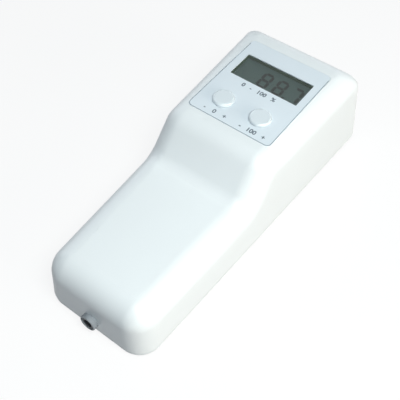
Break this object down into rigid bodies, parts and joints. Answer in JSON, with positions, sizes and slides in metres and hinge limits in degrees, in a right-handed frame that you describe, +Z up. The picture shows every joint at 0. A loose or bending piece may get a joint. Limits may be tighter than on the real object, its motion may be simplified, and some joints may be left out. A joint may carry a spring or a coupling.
{
  "type": "whiteness meter",
  "caption": "Handheld reflectance meter with a low grip, raised head, digit display, zero and correction controls, and a measuring port in its underside.",
  "frame": {"origin": "middle of the bounding box's footprint, on the surface that the meter stands on", "axes": "+Y from the grip to the measuring head, +Z up, +X to the right as the display is read"},
  "size_m": [0.0876, 0.2127, 0.0592],
  "materials": {
    "white_case": "moulded white ABS, satin gloss",
    "white_cover": "moulded white ABS, satin gloss",
    "white_door": "moulded white ABS, satin gloss",
    "white_knob": "moulded white ABS, glossy",
    "black_plastic": "moulded black ABS",
    "battery_can": "plain lacquered steel can",
    "black_snap": "black vinyl",
    "wire_insulation": "extruded vinyl",
    "foam": "grey foam",
    "printed_film": "printed polycarbonate film, fine matt",
    "clear_window": "clear acrylic",
    "black_frame": "moulded black plastic",
    "lcd": "reflective twisted-nematic display",
    "silicone_strips": "layered conductive silicone",
    "circuit_board": "glass epoxy with green solder mask",
    "zinc_screws": "zinc plated steel",
    "chip_epoxy": "moulded epoxy",
    "pot_case": "moulded nylon",
    "pot_shaft": "moulded acetal",
    "collar_grey": "moulded mid grey nylon",
    "socket_plastic": "moulded dark grey nylon",
    "plated_metal": "nickel plated brass",
    "switch_black": "moulded black nylon",
    "rocker_black": "moulded black nylon, satin",
    "terminal_brass": "tinned brass",
    "port_black": "black acetal",
    "port_glass": "flat optical glass",
    "block_black": "matt black moulded block",
    "holder_black": "black acetal",
    "lamp_glass": "clear lamp envelope",
    "lens_glass": "ground lens glass",
    "blue_glass": "coloured blue filter glass",
    "ring_black": "black anodised",
    "diode_can": "plated can",
    "rubber_feet": "soft black rubber"
  },
  "bodies": {
    "case": {"upper_shell": "white_case", "base_cover": "white_cover", "battery_compartment": "black_plastic", "battery": "battery_can", "battery_snap": "black_snap", "battery_pad": "foam", "panel_overlay": "printed_film", "display_window": "clear_window", "lcd_frame": "black_frame", "lcd_glass": "lcd", "lcd_contact_strips": "silicone_strips", "main_board": "circuit_board", "board_screws": "zinc_screws", "converter_chip": "chip_epoxy", "zero_pot_body": "pot_case", "correction_pot_body": "pot_case", "socket_collar": "collar_grey", "dc_socket_body": "socket_plastic", "dc_socket_pin": "plated_metal", "dc_socket_nut": "plated_metal", "switch_housing": "switch_black", "switch_terminals": "terminal_brass", "port_ring": "port_black", "port_window": "port_glass", "optics_block": "block_black", "optics_screws": "zinc_screws", "lamp_holders": "holder_black", "lamp_left": "lamp_glass", "lamp_right": "lamp_glass", "condenser_lenses": "lens_glass", "blue_filter": "blue_glass", "filter_ring": "ring_black", "photodiode": "diode_can", "detector_board": "circuit_board", "battery_wires": "wire_insulation", "socket_wires": "wire_insulation", "switch_wires": "wire_insulation", "lamp_wires": "wire_insulation", "detector_wires": "wire_insulation", "detector_screws": "zinc_screws", "detector_amplifier": "chip_epoxy", "rubber_feet": "rubber_feet", "case_screws": "zinc_screws"},
    "zero_control": {"zero_knob": "white_knob", "zero_shaft": "pot_shaft"},
    "correction_control": {"correction_knob": "white_knob", "correction_shaft": "pot_shaft"},
    "power_rocker": {"switch_rocker": "rocker_black"},
    "door": {"battery_door": "white_door"}
  },
  "joints": [
    {"name": "zero_turn", "type": "hinge", "parent": "case", "child": "zero_control", "pos_m": [-0.0126, 0.03184, 0.0573], "axis": [0, 0, 1], "range_deg": [-150, 150]},
    {"name": "correction_turn", "type": "hinge", "parent": "case", "child": "correction_control", "pos_m": [0.0126, 0.03184, 0.0573], "axis": [0, 0, 1], "range_deg": [-150, 150]},
    {"name": "rocker_tilt", "type": "hinge", "parent": "case", "child": "power_rocker", "pos_m": [0, 0.0999, 0.02777], "axis": [0, -0.0767, 0.9971], "range_deg": [0, 20]},
    {"name": "door_slide", "type": "slide", "parent": "case", "child": "door", "axis": [0, -1, 0], "range_m": [0, 0.005]}
  ]
}
